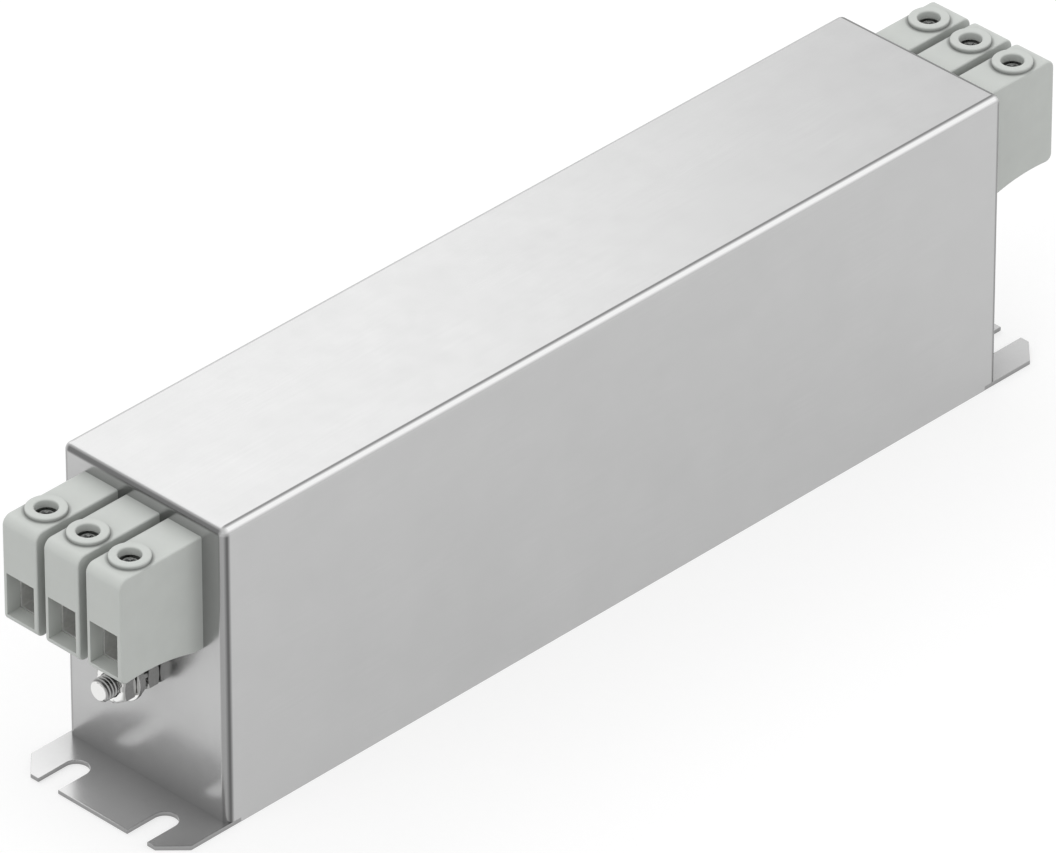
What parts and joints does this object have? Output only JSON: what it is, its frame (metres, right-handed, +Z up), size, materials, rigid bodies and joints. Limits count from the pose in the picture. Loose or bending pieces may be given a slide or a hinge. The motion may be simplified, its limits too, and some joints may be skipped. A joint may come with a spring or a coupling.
{
  "type": "three-phase line filter",
  "caption": "Line filter in a long tinned-steel housing, with grey screw terminals and an earth stud at each end, and slotted fixing flanges under them.",
  "frame": {"origin": "centre of the base plate's underside", "axes": "+X along the housing from the line end to the load end, +Y across it, +Z up from the mounting surface"},
  "size_m": [0.264, 0.045, 0.07],
  "materials": {
    "housing_steel": "tin-plated sheet steel, satin",
    "terminal_plastic": "light grey moulded polyamide, matte",
    "cage_steel": "zinc-plated steel, satin",
    "tinned_copper": "tin-plated copper, satin",
    "screw_steel": "zinc-plated steel, satin",
    "stud_steel": "zinc-plated steel, bright",
    "nut_steel": "zinc-plated steel, bright",
    "ferrite": "ferrite with a dark green coating, semi-gloss",
    "choke_plastic": "black polyamide, matte",
    "winding_copper": "enamelled copper, glossy",
    "insulating_film": "polyester sheet, smooth",
    "board_laminate": "glass-fibre laminate with green varnish",
    "x_capacitor_plastic": "yellow moulded box, semi-gloss",
    "y_capacitor_plastic": "blue moulded box, semi-gloss",
    "resistor_ceramic": "lacquered ceramic"
  },
  "bodies": {
    "root": {"cover": "housing_steel", "base_plate": "housing_steel", "terminal_housing_line_1": "terminal_plastic", "clamp_cage_line_1": "cage_steel", "current_bar_line_1": "tinned_copper", "terminal_housing_line_2": "terminal_plastic", "clamp_cage_line_2": "cage_steel", "current_bar_line_2": "tinned_copper", "terminal_housing_line_3": "terminal_plastic", "clamp_cage_line_3": "cage_steel", "current_bar_line_3": "tinned_copper", "terminal_housing_load_1": "terminal_plastic", "clamp_cage_load_1": "cage_steel", "current_bar_load_1": "tinned_copper", "terminal_housing_load_2": "terminal_plastic", "clamp_cage_load_2": "cage_steel", "current_bar_load_2": "tinned_copper", "terminal_housing_load_3": "terminal_plastic", "clamp_cage_load_3": "cage_steel", "current_bar_load_3": "tinned_copper", "clamp_screws": "screw_steel", "ground_studs": "stud_steel", "ground_nuts": "nut_steel", "ground_flat_washers": "nut_steel", "ground_spring_washers": "nut_steel", "ground_tooth_washers": "nut_steel", "choke_core": "ferrite", "choke_divider": "choke_plastic", "choke_saddle": "choke_plastic", "choke_winding_1": "winding_copper", "choke_winding_2": "winding_copper", "choke_winding_3": "winding_copper", "insulating_sheet": "insulating_film", "board_posts": "screw_steel", "circuit_board": "board_laminate", "x_capacitor_line_1": "x_capacitor_plastic", "x_capacitor_line_2": "x_capacitor_plastic", "x_capacitor_line_3": "x_capacitor_plastic", "y_capacitor_line": "y_capacitor_plastic", "x_capacitor_load_1": "x_capacitor_plastic", "x_capacitor_load_2": "x_capacitor_plastic", "x_capacitor_load_3": "x_capacitor_plastic", "y_capacitor_load": "y_capacitor_plastic", "discharge_resistor_1": "resistor_ceramic", "discharge_resistor_2": "resistor_ceramic", "discharge_resistor_3": "resistor_ceramic"}
  },
  "joints": []
}
